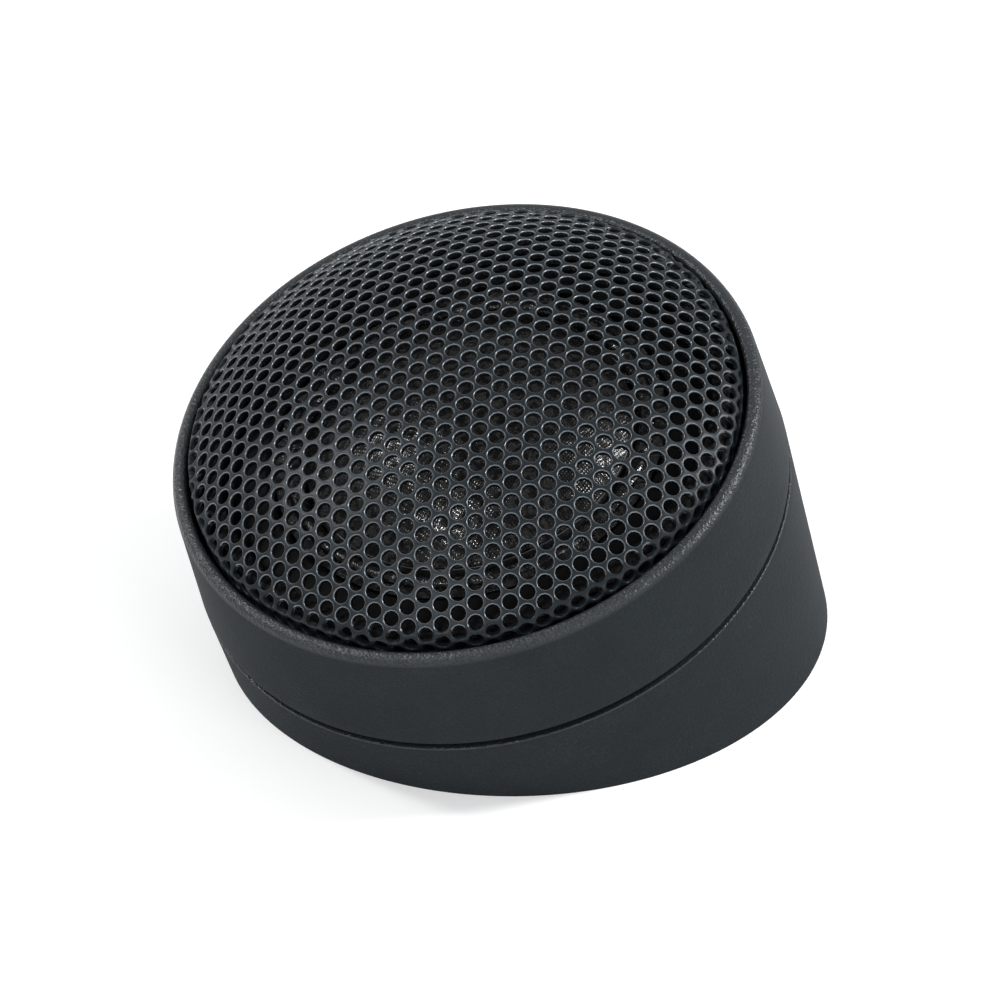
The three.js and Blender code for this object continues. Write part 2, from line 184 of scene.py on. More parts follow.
# Camera and stage
SENSOR = 36
FOCAL = 184.15
DISTANCE = 400 * MM
ELEVATION = math.radians(32.81)
AZIMUTH = math.radians(37.98)
ROLL = math.radians(0.693)
AIM = Vector((-1.781, -1.557, 10.918)) * MM
# The floor is a hair above the underside, so that the two never lie in one plane
FLOOR_LEVEL = 0.02 * MM
FLOOR_HALF = 1.5
LIGHT_DISTANCE = 0.45
LIGHT_TARGET = Vector((0, 0, 0.02))

# Facets round a turned piece, and the angle past which an edge stays crisp
FINE = 256
MEDIUM = 96
SMALL = 40
CREASE = math.radians(38)


# Mesh helpers


def crease(bm):
    """Smooth faces, with every edge sharper than CREASE left crisp."""
    for face in bm.faces:
        face.smooth = True
    for edge in bm.edges:
        edge.smooth = edge.calc_face_angle(math.pi) < CREASE


def make_piece(name, bm, material, place=HEAD):
    """An object made of a bmesh in millimetres, with its mesh placed by a matrix."""
    bmesh.ops.remove_doubles(bm, verts=bm.verts, dist=1e-4)
    bmesh.ops.recalc_face_normals(bm, faces=bm.faces)
    bmesh.ops.transform(bm, matrix=place, verts=bm.verts)
    crease(bm)
    mesh = bpy.data.meshes.new(name)
    bm.to_mesh(mesh)
    bm.free()
    mesh.materials.append(material)
    piece = bpy.data.objects.new(name, mesh)
    bpy.context.scene.collection.objects.link(piece)
    return piece


def combine(piece, others, operation):
    """Joins other solids to a piece, or cuts them from it. The others are used up."""
    for other in others:
        modifier = piece.modifiers.new("combine", "BOOLEAN")
        modifier.operation = operation
        modifier.solver = "EXACT"
        modifier.object = other
    bpy.context.view_layer.update()
    result = bpy.data.meshes.new_from_object(piece.evaluated_get(bpy.context.evaluated_depsgraph_get()))
    piece.modifiers.clear()
    material = piece.data.materials[0]
    bm = bmesh.new()
    bm.from_mesh(result)
    for face in bm.faces:
        face.material_index = 0
    crease(bm)
    bm.to_mesh(result)
    bm.free()
    result.materials.clear()
    result.materials.append(material)
    result.name = piece.name
    piece.data = result
    for other in others:
        bpy.data.objects.remove(other)
    return piece


def arc(radius, height, size, start, end, steps):
    """Points of an arc in the (radius, height) plane, from one angle to another in degrees."""
    points = []
    for step in range(steps + 1):
        angle = math.radians(start + (end - start) * step / steps)
        points.append((radius + size * math.cos(angle), height + size * math.sin(angle)))
    return points


def rounded(corners, size, steps=3):
    """A closed outline with each corner cut by a small curve that starts `size` from it."""
    points = []
    for index, corner in enumerate(corners):
        here = Vector(corner)
        before = Vector(corners[index - 1]) - here
        after = Vector(corners[(index + 1) % len(corners)]) - here
        if here.x < 1e-6:
            points.append(tuple(here))
            continue
        reach = min(size, before.length / 2.5, after.length / 2.5)
        start = here + before.normalized() * reach
        end = here + after.normalized() * reach
        for step in range(steps + 1):
            t = step / steps
            points.append(tuple(start * (1 - t) ** 2 + here * 2 * t * (1 - t) + end * t ** 2))
    return points


def turn(bm, outline, segments, where=(0, 0)):
    """Adds a solid turned about an upright axis. The closed outline is a list of (radius, height)."""
    rings = []
    for radius, height in outline:
        if radius < 1e-6:
            rings.append([bm.verts.new((*where, height))])
            continue
        ring = []
        for k in range(segments):
            angle = 2 * math.pi * k / segments
            x = where[0] + radius * math.cos(angle)
            y = where[1] + radius * math.sin(angle)
            ring.append(bm.verts.new((x, y, height)))
        rings.append(ring)
    for low, high in zip(rings, rings[1:] + rings[:1]):
        for k in range(segments):
            after = (k + 1) % segments
            corners = [low[k % len(low)], low[after % len(low)], high[after % len(high)], high[k % len(high)]]
            unique = list(dict.fromkeys(corners))
            if len(unique) > 2:
                bm.faces.new(unique)


def turned(name, outline, material, segments=MEDIUM, where=(0, 0), place=HEAD):
    """A piece turned from one closed outline."""
    bm = bmesh.new()
    turn(bm, outline, segments, where)
    return make_piece(name, bm, material, place)


def ring_outline(inner, outer, bottom, top, edge=0.1):
    """The section of a flat ring with rounded edges."""
    return rounded([(inner, bottom), (outer, bottom), (outer, top), (inner, top)], edge)


def rod(radius, bottom, top, where, place=HEAD):
    """A plain cylinder, to cut a round hole with."""
    outline = [(0, bottom), (radius, bottom), (radius, top), (0, top)]
    return turned("rod", outline, None, SMALL, where, place)


def on_circle(radius, degrees):
    """The (x, y) of a point at an angle round a circle."""
    angle = math.radians(degrees)
    return (radius * math.cos(angle), radius * math.sin(angle))


def sector(inner, outer, bottom, top, centre, span, steps=16):
    """A solid part of a ring that spans some degrees about its centre angle."""
    bm = bmesh.new()
    sections = []
    for step in range(steps + 1):
        angle = centre - span / 2 + span * step / steps
        corners = [(inner, bottom), (outer, bottom), (outer, top), (inner, top)]
        sections.append([bm.verts.new((*on_circle(radius, angle), height)) for radius, height in corners])
    for low, high in zip(sections, sections[1:]):
        for k in range(4):
            after = (k + 1) % 4
            bm.faces.new((low[k], low[after], high[after], high[k]))
    bm.faces.new(sections[0])
    bm.faces.new(sections[-1])
    return make_piece("sector", bm, None)


def prism(outline, bottom, top, name="prism", material=None, place=HEAD, edge=0.0):
    """A solid with an (x, y) outline and flat ends, with its edges bevelled by an amount."""
    bm = bmesh.new()
    face = bm.faces.new([bm.verts.new((x, y, bottom)) for x, y in outline])
    risen = bmesh.ops.extrude_face_region(bm, geom=[face])["geom"]
    up = [item for item in risen if isinstance(item, bmesh.types.BMVert)]
    bmesh.ops.translate(bm, vec=(0, 0, top - bottom), verts=up)
    if edge:
        bmesh.ops.bevel(bm, geom=bm.edges[:], offset=edge, segments=2, affect="EDGES")
    return make_piece(name, bm, material, place)


def rectangle(width, depth, x=0.0, y=0.0):
    """The outline of a rectangle round (x, y)."""
    return [(x - width / 2, y - depth / 2), (x + width / 2, y - depth / 2),
            (x + width / 2, y + depth / 2), (x - width / 2, y + depth / 2)]


def smooth_path(points, steps=8):
    """A Catmull-Rom curve through the points."""
    points = [Vector(point) for point in points]
    padded = [points[0] * 2 - points[1], *points, points[-1] * 2 - points[-2]]
    path = []
    for p0, p1, p2, p3 in zip(padded, padded[1:], padded[2:], padded[3:]):
        for step in range(steps):
            t = step / steps
            path.append(0.5 * (2 * p1 + (p2 - p0) * t + (2 * p0 - 5 * p1 + 4 * p2 - p3) * t ** 2
                               + (3 * p1 - p0 - 3 * p2 + p3) * t ** 3))
    path.append(points[-1])
    return path


def wire(name, points, radius, material, strands=0, lay=2.2):
    """A rod along a smooth path, or a twist of strands round it."""
    path = smooth_path(points)
    bm = bmesh.new()
    sides = 8
    turns = max(strands, 1)
    side = None
    frames = []
    travelled = 0.0
    for index, point in enumerate(path):
        along = (path[min(index + 1, len(path) - 1)] - path[max(index - 1, 0)]).normalized()
        if side is None:
            side = along.orthogonal().normalized()
        side = (side - along * side.dot(along)).normalized()
        if index:
            travelled += (point - path[index - 1]).length
        frames.append((point, side.copy(), along.cross(side), travelled))
    for strand in range(turns):
        thin = radius * STRAND_SHARE if strands else radius
        rings = []
        for point, across, other, distance in frames:
            phase = 2 * math.pi * (strand / turns + distance / lay)
            middle = point
            if strands:
                middle = point + (across * math.cos(phase) + other * math.sin(phase)) * (radius - thin)
            ring = []
            for k in range(sides):
                angle = 2 * math.pi * k / sides
                outward = across * math.cos(angle) + other * math.sin(angle)
                ring.append(bm.verts.new(middle + outward * thin))
            rings.append(ring)
        for low, high in zip(rings, rings[1:]):
            for k in range(sides):
                after = (k + 1) % sides
                bm.faces.new((low[k], low[after], high[after], high[k]))
        bm.faces.new(rings[0])
        bm.faces.new(rings[-1])
    return make_piece(name, bm, material)


# Material helpers


class Shading:
    """A new material with a Principled shader, and the few nodes that every finish here is made of."""

    def __init__(self, name, **values):
        self.material = bpy.data.materials.new(name)
        self.material.use_nodes = True
        self.tree = self.material.node_tree
        self.shader = self.tree.nodes["Principled BSDF"]
        coordinates = self.tree.nodes.new("ShaderNodeTexCoord")
        self.place = coordinates.outputs["Object"]
        self.normal = coordinates.outputs["Normal"]
        for socket, value in values.items():
            self.shader.inputs[socket.replace("_", " ")].default_value = value

    def link(self, value, socket):
        """Drives one of the shader's sockets."""
        self.tree.links.new(value, self.shader.inputs[socket])

    def noise(self, scale, detail=3.0, roughness=0.5):
        """Cloudy noise from 0 to 1, with so many features to the metre."""
        node = self.tree.nodes.new("ShaderNodeTexNoise")
        node.inputs["Scale"].default_value = scale
        node.inputs["Detail"].default_value = detail
        node.inputs["Roughness"].default_value = roughness
        self.tree.links.new(self.place, node.inputs["Vector"])
        return node.outputs["Fac"]

    def cells(self, scale):
        """Distance to the nearest of many scattered points."""
        node = self.tree.nodes.new("ShaderNodeTexVoronoi")
        node.inputs["Scale"].default_value = scale
        self.tree.links.new(self.place, node.inputs["Vector"])
        return node.outputs["Distance"]

    def wave(self, scale, direction, distortion=0.5):
        """Bands across one axis."""
        node = self.tree.nodes.new("ShaderNodeTexWave")
        node.bands_direction = direction
        node.inputs["Scale"].default_value = scale
        node.inputs["Distortion"].default_value = distortion
        self.tree.links.new(self.place, node.inputs["Vector"])
        return node.outputs["Fac"]

    def calculate(self, operation, first, second):
        """The result of a Math node on two values, each a number or another node's output."""
        node = self.tree.nodes.new("ShaderNodeMath")
        node.operation = operation
        for socket, value in zip(node.inputs, (first, second)):
            if isinstance(value, (int, float)):
                socket.default_value = value
            else:
                self.tree.links.new(value, socket)
        return node.outputs[0]

    def height(self):
        """Height along the head's axis from the parting plane, in centimetres."""
        node = self.tree.nodes.new("ShaderNodeVectorMath")
        node.operation = "DOT_PRODUCT"
        self.tree.links.new(self.place, node.inputs[0])
        node.inputs[1].default_value = AXIS * 100
        return self.calculate("SUBTRACT", node.outputs["Value"], PIVOT.dot(AXIS) * 100)

    def facing(self, centre):
        """How squarely the surface faces away from a centre: 1 for a sphere round it, less on a rim."""
        away = self.tree.nodes.new("ShaderNodeVectorMath")
        away.operation = "SUBTRACT"
        self.tree.links.new(self.place, away.inputs[0])
        away.inputs[1].default_value = centre
        unit = self.tree.nodes.new("ShaderNodeVectorMath")
        unit.operation = "NORMALIZE"
        self.tree.links.new(away.outputs["Vector"], unit.inputs[0])
        node = self.tree.nodes.new("ShaderNodeVectorMath")
        node.operation = "DOT_PRODUCT"
        self.tree.links.new(unit.outputs["Vector"], node.inputs[0])
        self.tree.links.new(self.normal, node.inputs[1])
        return node.outputs["Value"]

    def ramp(self, value, *stops):
        """Blends from stop to stop, each a position from 0 to 1 and a number or a colour."""
        node = self.tree.nodes.new("ShaderNodeValToRGB")
        elements = node.color_ramp.elements
        while len(elements) < len(stops):
            elements.new(0.5)
        for element, (position, colour) in zip(elements, stops):
            element.position = position
            if isinstance(colour, (int, float)):
                colour = (colour,) * 3
            element.color = (*colour, 1)
        self.tree.links.new(value, node.inputs["Fac"])
        return node.outputs["Color"]

    def bump(self, height, strength, depth, below=None):
        """Surface relief of a depth in metres, laid over another relief if there is one below."""
        node = self.tree.nodes.new("ShaderNodeBump")
        if isinstance(strength, float):
            node.inputs["Strength"].default_value = strength
        else:
            self.tree.links.new(strength, node.inputs["Strength"])
        node.inputs["Distance"].default_value = depth
        self.tree.links.new(height, node.inputs["Height"])
        if below is not None:
            self.tree.links.new(below, node.inputs["Normal"])
        return node.outputs["Normal"]


def scaled(colour, factor):
    """A darker or paler version of a colour."""
    return tuple(part * factor for part in colour)


def grained_plastic(name, colour, grain, depth, rough, specular, glint, worn_from=None, blend=0.0):
    """Moulded plastic with a spark-eroded grain, its raised points painted paler as glints. Above a height,
    if one is given, it is rubbed to a sparkling gloss, which comes in over a blend each side of that height."""
    s = Shading(name, Roughness=rough, Specular_IOR_Level=specular)
    mottle = s.noise(240, 4)
    fine = s.noise(grain, 2, 0.65)
    tips = s.cells(grain * 0.6)
    tone = s.calculate("ADD", s.calculate("MULTIPLY", mottle, 0.25), s.calculate("MULTIPLY", fine, 0.75))
    # The tone is the plastic's own, but it also follows the grain's relief: darker in its pits, and paler on
    # its raised points by the glint factor, which is a painted glint.
    dark = scaled(colour, 0.8)
    pale = scaled(colour, glint)
    s.link(s.ramp(tone, (0.36, dark), (0.56, colour), (0.68, pale)), "Base Color")
    relief = PLAIN_RELIEF
    if worn_from is not None:
        above = s.calculate("ADD", s.height(), 0.5 - worn_from)
        low = 0.5 - blend
        high = 0.5 + blend
        s.link(s.ramp(above, (low, specular), (high, WORN_GLOSS)), "Specular IOR Level")
        s.link(s.ramp(above, (low, rough), (high, WORN_ROUGHNESS)), "Roughness")
        relief = s.ramp(above, (low, PLAIN_RELIEF), (high, WORN_RELIEF))
    s.link(s.bump(tips, relief, depth, s.bump(fine, relief, depth)), "Normal")
    return s.material


def mottled(name, colour, rough, metallic=0.0, scale=300, grain=3000, depth=0.00002, specular=0.5,
            spread=0.35):
    """A plain finish with cloudy tone, uneven gloss and a fine surface texture."""
    s = Shading(name, Metallic=metallic, Specular_IOR_Level=specular)
    cloud = s.noise(scale, 5)
    fine = s.noise(grain, 3, 0.6)
    dark = scaled(colour, 1 - spread)
    pale = scaled(colour, 1 + spread)
    s.link(s.ramp(cloud, (0.3, dark), (0.7, pale)), "Base Color")
    s.link(s.ramp(fine, (0.3, rough + 0.1), (0.7, max(rough - 0.1, 0.05))), "Roughness")
    s.link(s.bump(fine, 0.6, depth), "Normal")
    return s.material


def painted_sheet():
    """Satin blue-black paint with orange peel, rubbed thin and glossy on the rounded rims of the holes. The
    rims are also painted pale, partly for the wear of the paint and partly as a painted highlight, and the
    walls of the holes are painted darker, as shade.
    """
    s = Shading("grille_paint")
    peel = s.noise(2600, 2)
    cloud = s.noise(420, 4)
    skirt = s.ramp(s.calculate("MULTIPLY", s.height(), 0.5), (0.52, 1.0), (0.53, 0.0))
    dome_radius = SPAN ** 2 / DROP_SQUARE / 2
    centre = PIVOT + AXIS * (APEX - dome_radius) * MM
    facing = s.calculate("ADD", s.facing(centre), skirt)
    place = s.calculate("ADD", facing, s.calculate("MULTIPLY", s.calculate("SUBTRACT", cloud, 0.5), 0.08))
    web = (0.008, 0.012, 0.015)
    # The walls of the holes are painted darker than the web: painted shade.
    painted_hole_shade = (0.005, 0.007, 0.008)
    # The rims' pale colour is partly the wear of the paint and partly a painted highlight.
    worn_rim_and_highlight = (0.14, 0.16, 0.18)
    s.link(s.ramp(place, (0.3, painted_hole_shade), (0.5, worn_rim_and_highlight), (0.8, worn_rim_and_highlight), (0.95, web)), "Base Color")
    s.link(s.ramp(facing, (0.3, 0.0), (0.5, 0.35), (0.8, 0.35), (0.95, 0.0)), "Metallic")
    s.link(s.ramp(facing, (0.84, 0.28), (0.96, 0.38)), "Roughness")
    s.link(s.ramp(facing, (0.80, 1.0), (0.95, 0.24)), "Specular IOR Level")
    s.link(s.bump(peel, 0.3, 0.00002), "Normal")
    return s.material


def woven_silk():
    """Coated silk: a square weave of round threads, blotched with glossy damping lacquer."""
    s = Shading("dome_silk")
    weave = s.calculate("MULTIPLY", s.wave(1500, "X", 0.8), s.wave(1500, "Y", 0.8))
    lacquer = s.noise(1500, 3, 0.6)
    s.link(s.ramp(weave, (0.0, 0.001), (1.0, 0.004)), "Base Color")
    s.link(s.ramp(lacquer, (0.46, 0.36), (0.55, 0.09)), "Roughness")
    s.link(s.ramp(lacquer, (0.46, 0.22), (0.55, 1.0)), "Specular IOR Level")
    s.link(s.bump(lacquer, 1.0, 0.00005, s.bump(weave, 1.0, 0.000014)), "Normal")
    return s.material


def open_foam():
    """Black open-cell foam: dull, with a deep relief of cells."""
    s = Shading("foam", Specular_IOR_Level=0.2, Roughness=0.95)
    cells = s.cells(2600)
    s.link(s.ramp(cells, (0.0, 0.003), (0.5, 0.016)), "Base Color")
    s.link(s.bump(cells, 1.0, 0.0002), "Normal")
    return s.material


def wool_felt():
    """Dark felt: dull, with a deep relief of matted fibres."""
    s = Shading("felt", Specular_IOR_Level=0.15, Roughness=0.95, Sheen_Weight=0.2)
    fibres = s.noise(3200, 6, 0.75)
    s.link(s.ramp(fibres, (0.3, 0.008), (0.7, 0.03)), "Base Color")
    s.link(s.bump(fibres, 1.0, 0.0002), "Normal")
    return s.material


def wound_copper():
    """Enamelled copper turns that lie side by side round the former."""
    s = Shading("coil_wire", Metallic=1.0)
    turns = s.wave(2600, "Z", 0.2)
    tone = s.noise(600, 3)
    s.link(s.ramp(tone, (0.3, (0.30, 0.10, 0.035)), (0.7, (0.46, 0.19, 0.08))), "Base Color")
    s.link(s.ramp(turns, (0.0, 0.5), (1.0, 0.25)), "Roughness")
    s.link(s.bump(turns, 0.9, 0.00006), "Normal")
    return s.material


def floor_material():
    """A white studio floor that glows a little, so that only the softest shadow shows."""
    s = Shading("floor_white", Roughness=0.9, Specular_IOR_Level=0.2, Emission_Strength=0.3,
                Emission_Color=(1, 1, 1, 1))
    tone = s.noise(6, 2)
    s.link(s.ramp(tone, (0.3, 0.86), (0.7, 0.88)), "Base Color")
    return s.material


POD_BLACK = (0.0208, 0.0250, 0.0280)
HOUSING = grained_plastic("housing_plastic", POD_BLACK, 7000, 0.00009, 0.5, 0.02, 1.3,
                          LIP_HEIGHT, LIP_BLEND)
BASE = grained_plastic("base_plastic", POD_BLACK, 6000, 0.00009, 0.55, 0.02, 1.35,
                       MOUTH_HEIGHT, MOUTH_BLEND)
DRIVER = grained_plastic("driver_plastic", (0.003, 0.003, 0.0032), 2500, 0.00003, 0.55, 0.1, 1.6)
PAINT = painted_sheet()
SILK = woven_silk()
FOAM = open_foam()
FELT = wool_felt()
RUBBER = mottled("rubber", (0.012, 0.012, 0.012), 0.75, specular=0.3)
ZINC = mottled("screw_steel", (0.42, 0.43, 0.46), 0.34, 1.0)
STEEL = mottled("plated_steel", (0.40, 0.41, 0.42), 0.36, 1.0, scale=160)
NICKEL = mottled("magnet_plating", (0.60, 0.58, 0.54), 0.2, 1.0, scale=120, spread=0.12)
FOIL = mottled("former_aluminium", (0.36, 0.37, 0.38), 0.5, 1.0, spread=0.15)
COPPER = wound_copper()
PHENOLIC = mottled("board", (0.14, 0.065, 0.028), 0.6, scale=700, grain=2200, depth=0.00004)
BRASS = mottled("tag_brass", (0.55, 0.43, 0.22), 0.32, 1.0, scale=500)
BRAID = mottled("lead_braid", (0.30, 0.13, 0.06), 0.45, 1.0, scale=2500)
SLEEVE = mottled("capacitor_sleeve", (0.012, 0.024, 0.06), 0.3, scale=300, grain=900, depth=0.00003)
TIN = mottled("leg_tin", (0.55, 0.55, 0.54), 0.3, 1.0)


# Grille


def dome_height(radius):
    """Height of the grille's outer face at a radius from the axis."""
    t = (radius / SPAN) ** 2
    return APEX - DROP_SQUARE * t - DROP_FOURTH * t * t


def formed_radius(flat):
    """Radius from the axis that a point of the flat sheet has once the sheet is formed."""
    t = (flat / SPAN) ** 2
    return flat * (1 + STRETCH_SQUARE * t + STRETCH_FOURTH * t * t)


def dome_slope(radius):
    """Rise of the outer face per millimetre outwards."""
    small = 1e-3
    return (dome_height(radius + small) - dome_height(radius - small)) / (2 * small)


def sheet_profile():
    """The sheet's outer face as (radius, height, normal out, normal up), at equal steps along the flat
    sheet, and the flat radii at which the bend ends and the skirt reaches its foot."""
    rows = []
    while True:
        radius = formed_radius(FLAT_STEP * len(rows))
        slope = dome_slope(radius)
        out, up = -slope / math.hypot(1, slope), 1 / math.hypot(1, slope)
        if radius > GRILLE_SKIRT - GRILLE_BEND * (1 - out):
            break
        rows.append((radius, dome_height(radius), out, up))
    radius, height, out, up = rows[-1]
    size = (GRILLE_SKIRT - radius) / (1 - out)
    centre_radius = radius - size * out
    centre_height = height - size * up
    angle = math.atan2(up, out) - FLAT_STEP / size
    while angle > 0:
        out, up = math.cos(angle), math.sin(angle)
        rows.append((centre_radius + size * out, centre_height + size * up, out, up))
        angle -= FLAT_STEP / size
    bend_end = len(rows) * FLAT_STEP
    height = centre_height
    while height > GRILLE_FOOT:
        rows.append((GRILLE_SKIRT, height, 1.0, 0.0))
        height -= FLAT_STEP
    return rows, bend_end, len(rows) * FLAT_STEP


PROFILE, BEND_END, FOOT_END = sheet_profile()


def on_sheet(flat_point, depth):
    """A point of the flat sheet, moved onto the formed grille, at some depth below the outer face."""
    flat = flat_point.length
    place = min(flat / FLAT_STEP, len(PROFILE) - 1.001)
    index = int(place)
    share = place - index
    radius, height, out, up = (a + (b - a) * share for a, b in zip(PROFILE[index], PROFILE[index + 1]))
    direction = flat_point / flat if flat > 1e-9 else Vector((0, 0))
    across = direction * (radius - out * depth)
    return Vector((across.x, across.y, height - up * depth))


def hole_rings(fine):
    """A cell's loops as (radius, depth), from the flat web over the rounded rim and down the hole."""
    if not fine:
        return [(HOLE + RIM_ROUND, 0.0), (HOLE, RIM_DEPTH), (HOLE, SHEET)]
    rings = []
    for degrees in (0, 28, 58, 90):
        angle = math.radians(degrees)
        rings.append((HOLE + RIM_ROUND * (1 - math.sin(angle)), RIM_DEPTH * (1 - math.cos(angle))))
    return rings + [(HOLE, EXIT_DEPTH), (EXIT_RADIUS, SHEET)]


def grille():
    """The perforated sheet: hexagonal cells with a punched hole each, laid over the formed shape."""
    bm = bmesh.new()
    sides = 12
    corner = PITCH / math.sqrt(3)
    middle = PITCH / 2
    row = Vector((math.cos(LATTICE_TURN), math.sin(LATTICE_TURN))) * PITCH
    slant = Vector((math.cos(LATTICE_TURN + math.pi / 3), math.sin(LATTICE_TURN + math.pi / 3))) * PITCH
    reach = int(FOOT_END / middle)
    cells = {}
    for i in range(-reach, reach + 1):
        for j in range(-reach, reach + 1):
            centre = row * i + slant * j + LATTICE_SHIFT
            if centre.length < FOOT_END - corner:
                cells[i, j] = centre
    neighbours = [(1, 0), (0, 1), (-1, 1), (-1, 0), (0, -1), (1, -1)]
    for (i, j), centre in cells.items():
        directions = []
        for k in range(sides):
            angle = LATTICE_TURN + 2 * math.pi * k / sides
            directions.append(Vector((math.cos(angle), math.sin(angle))))
        edge = [centre + directions[k] * (corner if k % 2 else middle) for k in range(sides)]
        stack = [[bm.verts.new(on_sheet(point, 0)) for point in edge]]
        for radius, depth in hole_rings(centre.length < BEND_END + corner):
            points = [on_sheet(centre + direction * radius, depth) for direction in directions]
            stack.append([bm.verts.new(point) for point in points])
        stack.append([bm.verts.new(on_sheet(point, SHEET)) for point in edge])
        for low, high in zip(stack, stack[1:]):
            for k in range(sides):
                after = (k + 1) % sides
                bm.faces.new((low[k], low[after], high[after], high[k]))
        for side, (di, dj) in enumerate(neighbours):
            if (i + di, j + dj) in cells:
                continue
            for k in (2 * side - 1, 2 * side):
                after = (k + 1) % sides
                bm.faces.new((stack[0][k], stack[0][after], stack[-1][after], stack[-1][k]))
    return make_piece("grille_sheet", bm, PAINT)


# Housing and base


def housing_shell():
    """The ring: drafted wall, rounded lip, bore, shelf, and the bayonet skirt that enters the base."""
    bottom = GROOVE / 2
    edge = HOUSING_EDGE
    lip_height = LIP_CREST - LIP_ROUND
    inner_height = LIP_CREST - LIP_INNER_ROUND
    outline = arc(SKIRT_INNER + edge, SKIRT_BOTTOM + edge, edge, 180, 270, 4)
    outline += arc(SKIRT_OUTER - edge, SKIRT_BOTTOM + edge, edge, 270, 360, 4)
    outline += [(SKIRT_OUTER, bottom), (RIB_INNER, bottom), (RIB_INNER, RIB_BOTTOM)]
    outline += [(RIB_OUTER, RIB_BOTTOM), (RIB_OUTER, bottom)]
    outline += arc(POD_RADIUS - edge, bottom + edge, edge, -90, 0, 4)
    steps = 8
    for step in range(1, steps):
        share = step / steps
        radius = POD_RADIUS + (LIP_OUTER - POD_RADIUS) * share
        outline.append((radius, bottom + (lip_height - bottom) * share))
    outline += arc(LIP_OUTER - LIP_ROUND, lip_height, LIP_ROUND, 0, 90, 12)
    outline += arc(BORE + LIP_INNER_ROUND, inner_height, LIP_INNER_ROUND, 90, 180, 8)
    outline += [(BORE, SHELF_TOP), (SHELF_INNER, SHELF_TOP), (SHELF_INNER, SHELF_BOTTOM),
                (SKIRT_INNER, SHELF_BOTTOM)]
    shell = turned("housing_shell", outline, HOUSING, FINE)
    lug_bottom = SKIRT_BOTTOM + 0.01
    lugs = [sector(SKIRT_OUTER - OVERLAP, LUG_OUTER, lug_bottom, LUG_TOP, angle, LUG_SPAN)
            for angle in LUG_ANGLES]
    holes = [rod(SCREW_HOLE, SHELF_BOTTOM - PAST, SHELF_TOP + PAST, on_circle(SCREW_CIRCLE, angle))
             for angle in SCREW_ANGLES]
    combine(shell, lugs, "UNION")
    return combine(shell, holes, "DIFFERENCE")


def cut_height(radius, angle, level):
    """Height along the axis where a line of the drafted wall meets a level above the underside."""
    lean = math.sin(TILT) * math.sin(angle)
    return (level - PIVOT_HEIGHT - radius * lean) / (math.cos(TILT) + DRAFT * lean)


def wedge_column(angle):
    """Points down the wall at one angle: from the floor inside, over the mouth's edge, to the underside."""
    edge = MOUTH_EDGE
    top = -GROOVE / 2
    inner = POD_RADIUS - WALL
    floor_height = cut_height(inner, angle, FLOOR)
    foot = cut_height(POD_RADIUS, angle, 0.0)
    column = [(inner + DRAFT * floor_height, floor_height), (inner, top - edge), (inner, top - 0.05)]
    column += arc(POD_RADIUS - edge, top - edge, edge, 90, 0, 5)
    rows = 14
    for step in range(1, rows + 1):
        height = top - edge + (foot - top + edge) * step / rows
        column.append((POD_RADIUS + DRAFT * height, height))
    return column


def wedge_shell():
    """The wedge: a leaning drafted tube, cut flat by the underside, with a floor, ledges, stops and holes."""
    bm = bmesh.new()
    columns = []
    for k in range(FINE):
        angle = 2 * math.pi * k / FINE
        column = []
        for radius, height in wedge_column(angle):
            column.append(bm.verts.new((radius * math.cos(angle), radius * math.sin(angle), height)))
        columns.append(column)
    for low, high in zip(columns, columns[1:] + columns[:1]):
        for a, b, c, d in zip(low, high, high[1:], low[1:]):
            bm.faces.new((a, b, c, d))
    bm.faces.new([column[-1] for column in columns])
    bm.faces.new([column[0] for column in columns])
    shell = make_piece("wedge_shell", bm, BASE)
    wall = POD_RADIUS - WALL + OVERLAP
    ribs = []
    for angle in LUG_ANGLES:
        stop_angle = angle - STOP_TURN
        ribs.append(sector(LEDGE_INNER, wall, LEDGE_BOTTOM, LEDGE_TOP, angle, LEDGE_SPAN))
        ribs.append(sector(STOP_INNER, wall + 0.1, SKIRT_BOTTOM, STOP_TOP, stop_angle, STOP_SPAN, 6))
    combine(shell, ribs, "UNION")
    holes = [rod(CABLE_RADIUS, -PAST, FLOOR + PAST, (0, CABLE_Y), UPRIGHT)]
    cone_bottom = FLOOR - FIXING_SINK + FIXING_RADIUS
    cone = [(0, -PAST), (FIXING_RADIUS, -PAST), (FIXING_RADIUS, cone_bottom),
            (FIXING_SINK + PAST, FLOOR + PAST), (0, FLOOR + PAST)]
    for x in (-FIXING_X, FIXING_X):
        holes.append(turned("sink", cone, None, SMALL, (x, FIXING_Y), UPRIGHT))
    return combine(shell, holes, "DIFFERENCE")


def cable_grommet():
    """A rubber sleeve in the cable hole, with a flange that lies on the floor inside."""
    neck = CABLE_RADIUS - GAP
    flange = 5.8
    bore = 3.2
    seat = FLOOR + GAP
    top = seat + 0.8
    corners = [(bore, GAP), (neck, GAP), (neck, seat), (flange, seat), (flange, top), (bore, top)]
    return turned("rubber_grommet", rounded(corners, 0.25), RUBBER, MEDIUM, (0, CABLE_Y), UPRIGHT)


# Driver


def silk_dome():
    """A thin spherical cap, from its glued edge to the apex."""
    rise = 4.6
    radius = 12.75
    edge = 7.9
    apex = 12.5
    thick = 0.35
    sphere = (radius ** 2 + rise ** 2) / (2 * rise)
    centre = apex - sphere
    start = math.degrees(math.asin((edge - centre) / sphere))
    inside = math.degrees(math.asin((edge - centre) / (sphere - thick)))
    outline = arc(0, centre, sphere, start, 90, 30) + arc(0, centre, sphere - thick, 90, inside, 30)
    return turned("silk_dome", outline, SILK, MEDIUM)


